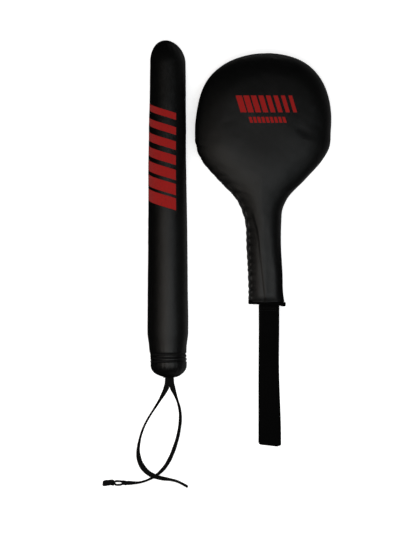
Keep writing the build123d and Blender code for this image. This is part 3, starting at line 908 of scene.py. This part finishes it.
def puffUp(piece, held):
    # cloth blown up from inside without gravity, held at the seam; no point moves further than the cap
    look, scene = puffLook, bpy.context.scene
    before = np.empty(len(piece.data.vertices) * 3)
    piece.data.vertices.foreach_get("co", before)
    before = before.reshape(-1, 3)
    group = piece.vertex_groups.new(name="seam")
    group.add(np.flatnonzero(held(before / mm)).tolist(), 1.0, "REPLACE")
    cloth = piece.modifiers.new("cloth", "CLOTH")
    cloth.settings.quality = 6
    cloth.settings.mass = look["mass"]
    cloth.settings.tension_stiffness = cloth.settings.compression_stiffness = look["stretch"]
    cloth.settings.shear_stiffness = look["shear"]
    cloth.settings.bending_stiffness = look["bending"]
    cloth.settings.air_damping = look["damping"]
    cloth.settings.use_pressure = True
    cloth.settings.uniform_pressure_force = look["force"]
    cloth.settings.shrink_min = -look["swell"]
    cloth.settings.vertex_group_mass = "seam"
    cloth.settings.effector_weights.gravity = 0
    cloth.point_cache.frame_start, cloth.point_cache.frame_end = 1, look["frames"]
    for number in range(1, look["frames"] + 1):
        scene.frame_set(number)
    moved = piece.evaluated_get(bpy.context.evaluated_depsgraph_get())
    after = np.empty(len(before) * 3)
    moved.data.vertices.foreach_get("co", after)
    shift = (after.reshape(-1, 3) - before) / mm
    size = np.linalg.norm(shift, axis=1)
    print(piece.name, "puffed by", round(size.mean(), 2), "mm, at most", round(size.max(), 2))
    shift *= (look["cap"] * np.tanh(size / look["cap"]) / np.maximum(size, 1e-9))[:, None]
    shift *= 1 - 0.8 * smooth(-110, -55, -before[:, 1:2] / mm)  # the handle is packed harder
    piece.modifiers.remove(cloth)
    piece.vertex_groups.remove(group)
    scene.frame_set(1)
    result = before + shift * mm
    result[:, 2] = np.maximum(result[:, 2], 0.0001)
    piece.data.vertices.foreach_set("co", result.ravel())
    piece.data.update()


def paddleHeld(points):
    # the seam round the rim and the mouth stay where they are
    rim = np.abs(points[:, 2] - paddleLook["middle"]) < 0.6
    mouth = points[:, 1] < paddleLook["top"] - paddleLook["end"] + 8
    return rim | mouth


paddleGrid = makePaddleGrid()
paddleSkin = makePiece("paddleSkin", [paddleGrid], leatherMaterial("paddleLeather", paddleInk))
puffUp(paddleSkin, paddleHeld)
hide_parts("paddle_cover_front", "paddle_cover_back", "paddle_head_foam_front",
            "paddle_head_foam_back", "paddle_grip_foam_front", "paddle_grip_foam_back", "paddle_rim_foam")
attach(paddleSkin, "paddle")
smoother = paddleSkin.modifiers.new("smoother", "SUBSURF")
smoother.levels = smoother.render_levels = 1
print("paddle skin made")

seamLook = {
    "thread": 1.7,
    "reach": 5.2,  # above and below the rim's middle
    "slant": 1.7,
    "sink": 0.9,
}


def makePaddleSeamThread():
    # overhand stitches: at each drawn-in place a thread goes round the left rim, a little slanted
    look = seamLook
    fine = np.linspace(0, paddleTurn(np.array(paddleLook["end"] - 9)), 1600)
    left, _, phase = paddleEdges(fine)
    edge = np.column_stack([paddleLook["axis"] + left, paddleLook["top"] - paddleRow(fine)])
    edge[:, 0] += paddleLook["puckerHeight"] * 0.15
    way = np.gradient(edge, axis=0)
    way /= np.linalg.norm(way, axis=1)[:, None]
    arc = np.linspace(-1, 1, 11)
    grids, uvs = [], []
    for number in range(int(phase[-1]) + 1):
        i = int(np.argmin(np.abs(phase - number)))
        along, outward = way[i], np.array([way[i][1], -way[i][0]])
        outward *= -np.sign(outward[0])
        flat = edge[i] + arc[:, None] * look["slant"] * along
        depth = (arc * look["reach"]) ** 2 / (2 * paddleLook["headRim"]) + look["sink"] * np.abs(arc) ** 8
        flat = flat + outward * (0.45 - depth)[:, None]
        line = np.column_stack([flat, paddleLook["middle"] + arc * look["reach"]])
        grid, uv = carry(line, look["thread"], look["thread"], ovalSection(8), reference=(*along, 0))
        grids.append(grid)
        uvs.append(uv)
    thread = makePiece("paddleSeamThread", grids, threadBlack, uvs)
    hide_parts("paddle_closing_stitches")
    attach(thread, "paddle")


hemLook = {
    "place": 2.7,  # from the skin's lowest edge up to the hem's middle
    "tall": 7.0,
    "thick": 2.4,
    "flare": 1.0,
    "slant": 0.062,
    "wave": 0.5,
    "slot": (51.85, 30.8),  # x and z of the panel's slot, where the strap comes out
}


def makeHandleEnd():
    # the hem is a flat band carried round the handle's mouth; the panel closes the mouth behind it
    look = hemLook
    ring = paddleGrid[-3, :-1].copy()
    centre = ring.mean(0)
    out = ring - centre
    out /= np.linalg.norm(out, axis=1)[:, None]
    right = np.clip(out[:, 0], 0, 1) ** 6
    flare = right * look["flare"]
    number = np.arange(len(ring))
    loop = ring + out * (0.7 * flare - 0.1 - 1.0 * np.clip(-out[:, 0], 0, 1) ** 4)[:, None]
    loop[:, 1] += look["place"] - look["slant"] * (ring[:, 0] - centre[0]) - 0.6 * flare
    loop[:, 1] += look["wave"] * np.sin(number * 0.35)
    tall = look["tall"] + look["wave"] * np.sin(number * 0.52)
    grid, uv = carry(loop, look["thick"], tall, ovalSection(18, 0.55), closed=True, reference=(0, 1, 0))
    hem = makePiece("handleHem", [grid], hemBlack, [uv])
    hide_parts("paddle_end_hem")
    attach(hem, "paddle")

    share = np.linspace(1, 0, 26)[:, None, None]
    rim = paddleGrid[-2] - [0, 0.2, 0]
    plate = centre * (1 - share) + rim[None] * share
    inner = share[..., 0]
    slotAway = np.hypot((plate[..., 0] - look["slot"][0]) * 0.15, plate[..., 2] - look["slot"][1])
    plate[..., 1] += 1.2 - 0.6 * (1 - inner ** 2) + 1.0 * np.exp(-(slotAway / 2.5) ** 2) * (1 - inner ** 8)
    panel = makePiece("handleEndPanel", [plate], leatherMaterial("panelLeather"))
    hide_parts("paddle_end_panel")
    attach(panel, "paddle")


makePaddleSeamThread()
makeHandleEnd()
print("paddle seam and handle end made")

# the wrist strap: one length of webbing out of the handle, folded back under itself at its end
strapLook = {
    "middle": 51.7,
    "width": 36.6,
    "thick": 1.8,
    "out": 30.8,  # height at the handle
    "down": 2.3,  # height on the table
    "tail": -52.0,
    "fall": (-147.0, -213.0),
    "end": -359.2,
    "plyGap": 0.5,
    "peek": 3.6,  # the lower ply slides this far to the right
    "skew": 2.0,
    "rib": 0.85,  # share of the half width where a line runs beside each edge
    "threadRows": (-115.0, -119.0),
}


def strapSection():
    # flat faces, round edges, and a fine groove beside each edge
    look = strapLook
    x = np.sin(np.linspace(-np.pi / 2, np.pi / 2, 41))
    y = (1 - np.abs(x) ** 30) ** 0.5 * (1 - 0.32 * np.exp(-((np.abs(x) - look["rib"]) / 0.028) ** 2))
    return np.concatenate([np.column_stack([x, y]), np.column_stack([x, -y])[::-1][1:]])


def makeWristStrap():
    # the path goes out along the upper ply, round the fold and back along the lower ply
    look = strapLook
    half = (look["thick"] + look["plyGap"]) / 2
    run = np.concatenate([np.linspace(look["tail"], look["fall"][0], 50), np.linspace(*look["fall"], 60)[1:],
                          np.linspace(look["fall"][1], look["end"] + half, 80)[1:]])
    drop = smooth(-look["fall"][0], -look["fall"][1], -run)
    height = look["out"] + (look["down"] - look["out"]) * drop
    height = height + 0.25 * np.sin(run / 19.0) * smooth(-110, -150, run) * (1 - drop)
    slope = np.gradient(height, run)
    normal = np.column_stack([-slope, np.ones(len(run))])
    normal /= np.linalg.norm(normal, axis=1)[:, None]
    tight = smooth(104, 126, -run)  # the plies are sewn flat together at the handle
    gap = half - (look["plyGap"] / 2 - 0.03) * (1 - tight)
    upper = np.column_stack([run, height]) + normal * gap[:, None]
    lower = (np.column_stack([run, height]) - normal * gap[:, None])[::-1]
    bend = np.linspace(0, np.pi, 13)[1:-1]
    fold = np.column_stack([
        look["end"] + half - half * 1.6 * np.sin(bend), look["down"] + half * np.cos(bend)])
    line = np.concatenate([upper, fold, lower])
    slide = np.concatenate([np.zeros(len(upper)), np.linspace(0, 1, len(fold)), np.ones(len(lower))])
    path = np.column_stack([np.full(len(line), look["middle"]), line])
    width = look["width"] * (1 + 0.004 * np.sin(line[:, 0] / 23.0)) + 0.5 * smooth(180, 350, -line[:, 0])
    grid, uv = carry(path, width, look["thick"], strapSection(), tilt=90, reference=(1, 0, 0))
    slide = np.concatenate([slide[:1], slide, slide[-1:]])[:, None]
    grid[..., 0] += slide * look["peek"] * smooth(215, 350, -grid[..., 1])
    across = (grid[..., 0] - look["middle"]) / (look["width"] / 2)
    nearEnd = smooth(250, 357, -grid[..., 1])
    grid[..., 1] -= look["skew"] * across * nearEnd ** 6
    grid[..., 1] += 1.6 * np.clip(np.abs(across), 0, 1) ** 14 * nearEnd ** 20  # its corners are rounded
    grid[..., 2] += 0.30 * across ** 2 * (1 - nearEnd) * smooth(130, 200, -grid[..., 1])
    lumps = softNoise(grid * [1, 1, 0], 46.0, 21) * smooth(120, 150, -grid[..., 1])
    grid[..., 2] += 0.35 * lumps * (grid[..., 2] > 1.5)
    grid[..., 2] = np.maximum(grid[..., 2], 0.08)
    strap = makePiece("wristStrap", [grid], webbingBlack, [uv])
    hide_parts("strap_loop", "strap_tail")
    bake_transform(strap)
    grids, uvs = [], []
    for place in look["threadRows"]:  # two rows of thread across, close to the handle
        for x in np.arange(look["middle"] - 15.5, look["middle"] + 13, 3.6):
            arc = np.linspace(-1, 1, 7)
            line = np.column_stack([
                x + 1.25 * (arc + 1), np.full(7, place), look["out"] + 1.95 - 0.55 * arc ** 4])
            grid, uv = carry(line, 0.8, 0.7, ovalSection(8))
            grids.append(grid)
            uvs.append(uv)
    # these rows use the darker thread copy, which paints them as lying in shade
    rows = makePiece("strapRootThread", grids, threadShadedCopy, uvs)
    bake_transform(rows)


makeWristStrap()
print("wrist strap made")

# finishes of the parts inside
foamGrey = plainMaterial("foamGrey", (0.30, 0.30, 0.31), 0.9, 0.0012, 0.0004, 0.45)
boardPale = plainMaterial("boardPale", (0.55, 0.42, 0.28), 0.7, 0.004, 0.0001, 0.3)
tubeWhite = plainMaterial("tubeWhite", (0.72, 0.73, 0.72), 0.35, 0.006, 0.00004, 0.08)
rivetSteel = plainMaterial("rivetSteel", (0.62, 0.62, 0.63), 0.32, 0.0009, 0.00002, 0.2, 1.0)
laceInside = plainMaterial("laceInside", (0.012, 0.012, 0.013), 0.8, 0.0007, 0.0002)
insideFinishes = {
    "stick_inner_foam": foamGrey,
    "stick_core_tube": tubeWhite,
    "stick_tip_plug": tubeWhite,
    "stick_butt_plug": tubeWhite,
    "lace_stem": laceInside,
    "lace_knot": laceInside,
    "paddle_core_board": boardPale,
    "strap_rivets": rivetSteel,
    "strap_washers": rivetSteel,
}
for nodeName, finish in insideFinishes.items():
    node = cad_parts[nodeName]
    node.data.materials.clear()
    node.data.materials.append(finish)
print("inside parts finished")
